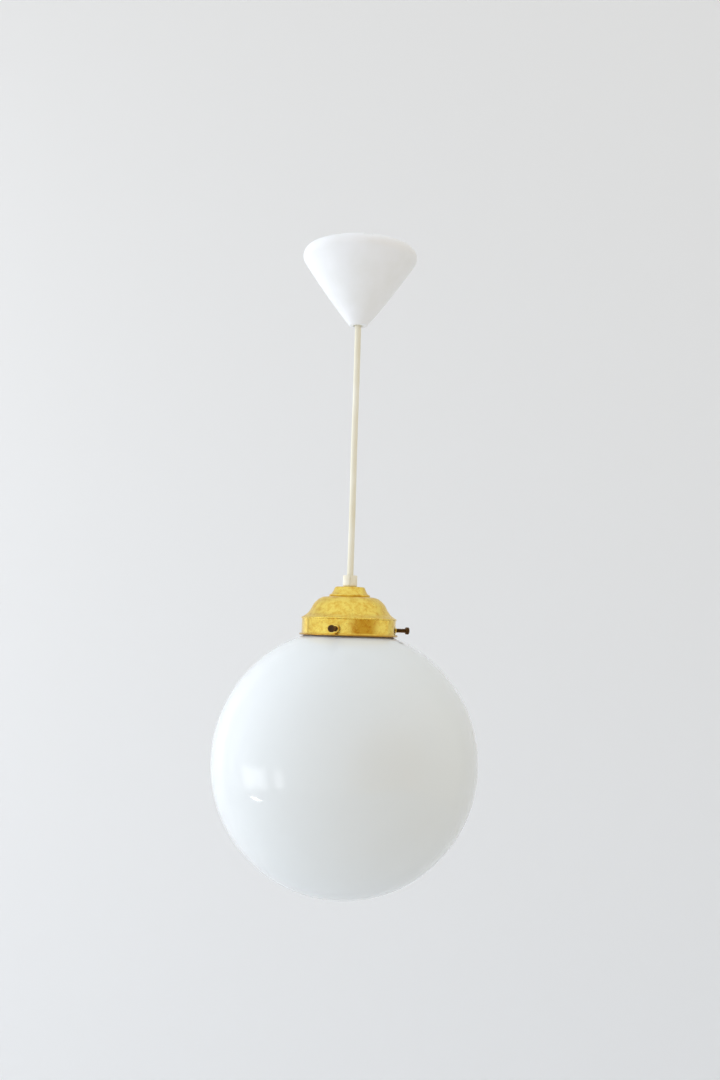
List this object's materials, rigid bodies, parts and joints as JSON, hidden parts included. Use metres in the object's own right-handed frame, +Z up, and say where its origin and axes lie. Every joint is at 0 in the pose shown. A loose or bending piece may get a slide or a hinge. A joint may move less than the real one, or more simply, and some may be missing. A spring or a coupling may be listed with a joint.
{
  "type": "pendant ceiling light",
  "caption": "Round opal glass globe held by thumbscrews in a brass gallery, hanging on a cream flex from a white cone canopy.",
  "frame": {"origin": "middle of the ceiling plate's upper face, which lies on the ceiling", "axes": "+Z up, along the flex; +X along the ceiling plate, across the hook's wire; +Y along the wire at the bottom of the hook"},
  "size_m": [0.2499, 0.25, 0.6185],
  "materials": {
    "white_plastic": "satin moulded",
    "cream_plastic": "satin moulded",
    "cream_pvc": "satin extruded",
    "spun_brass": "polished, with patina and stains",
    "aged_screw_brass": "dark oxidised",
    "zinc_steel": "zinc plated",
    "core_insulation": "extruded",
    "turned_brass": "machined",
    "black_phenolic": "moulded",
    "porcelain": "glazed",
    "bulb_aluminium": "drawn",
    "vitrite": "pressed glass",
    "frosted_glass": "acid frosted",
    "clear_glass": "clear",
    "tungsten": "drawn wire",
    "opal_glass": "glossy opal, mouth blown"
  },
  "bodies": {
    "ceiling": {"ceiling_plate": "zinc_steel", "ceiling_hook": "zinc_steel"},
    "suspension": {"hanger_strap": "zinc_steel", "cord_clamp": "cream_plastic", "clamp_screws": "zinc_steel", "terminal_block": "cream_plastic", "terminal_tubes": "turned_brass", "terminal_screws": "zinc_steel", "block_screw": "zinc_steel", "upper_conductors": "core_insulation", "flex": "cream_pvc"},
    "canopy": {"canopy": "white_plastic", "canopy_bush": "cream_plastic"},
    "grip": {"cord_grip": "cream_plastic", "grip_screw": "zinc_steel", "flex_tail": "cream_pvc"},
    "gallery": {"gallery": "spun_brass", "screw_bosses": "spun_brass", "gallery_cap": "spun_brass", "nipple": "turned_brass", "upper_nut": "turned_brass", "washer": "zinc_steel", "lower_nut": "turned_brass", "holder_cap": "black_phenolic", "holder_skirt": "black_phenolic", "holder_insert": "porcelain", "thread_shell": "turned_brass", "centre_contact": "turned_brass", "holder_terminals": "turned_brass", "holder_conductors": "core_insulation"},
    "globe": {"globe": "opal_glass"},
    "bulb": {"bulb_cap": "bulb_aluminium", "bulb_insulator": "vitrite", "bulb_contact": "bulb_aluminium", "bulb_glass": "frosted_glass", "bulb_stem": "clear_glass", "filament": "tungsten"},
    "thumbscrew_1": {"thumbscrew_1": "aged_screw_brass"},
    "thumbscrew_2": {"thumbscrew_2": "aged_screw_brass"},
    "thumbscrew_3": {"thumbscrew_3": "aged_screw_brass"}
  },
  "joints": [
    {"name": "hook_swing", "type": "hinge", "parent": "ceiling", "child": "suspension", "pos_m": [0, 0, -0.015], "axis": [0, 1, 0], "range_deg": [-12, 12]},
    {"name": "canopy_slide", "type": "slide", "parent": "suspension", "child": "canopy", "axis": [0, 0, -1], "range_m": [0, 0.235]},
    {"name": "shade_tilt", "type": "hinge", "parent": "suspension", "child": "grip", "pos_m": [0, 0, -0.3184], "axis": [0, 1, 0], "range_deg": [-10, 10]},
    {"name": "shade_turn", "type": "hinge", "parent": "grip", "child": "gallery", "pos_m": [0, 0, -0.3291], "axis": [0, 0, 1], "range_deg": [-180, 180]},
    {"name": "globe_turn", "type": "hinge", "parent": "gallery", "child": "globe", "pos_m": [0, 0, -0.3757], "axis": [0, 0, 1], "continuous": true},
    {"name": "bulb_turn", "type": "hinge", "parent": "gallery", "child": "bulb", "pos_m": [0, 0, -0.3757], "axis": [0, 0, -1], "range_deg": [0, 1800]},
    {"name": "thumbscrew_1_out", "type": "slide", "parent": "gallery", "child": "thumbscrew_1", "axis": [0.9659, 0.2588, 0], "range_m": [0, 0.005]},
    {"name": "thumbscrew_2_out", "type": "slide", "parent": "gallery", "child": "thumbscrew_2", "axis": [-0.7071, 0.7071, 0], "range_m": [0, 0.005]},
    {"name": "thumbscrew_3_out", "type": "slide", "parent": "gallery", "child": "thumbscrew_3", "axis": [-0.2588, -0.9659, 0], "range_m": [0, 0.005]}
  ]
}
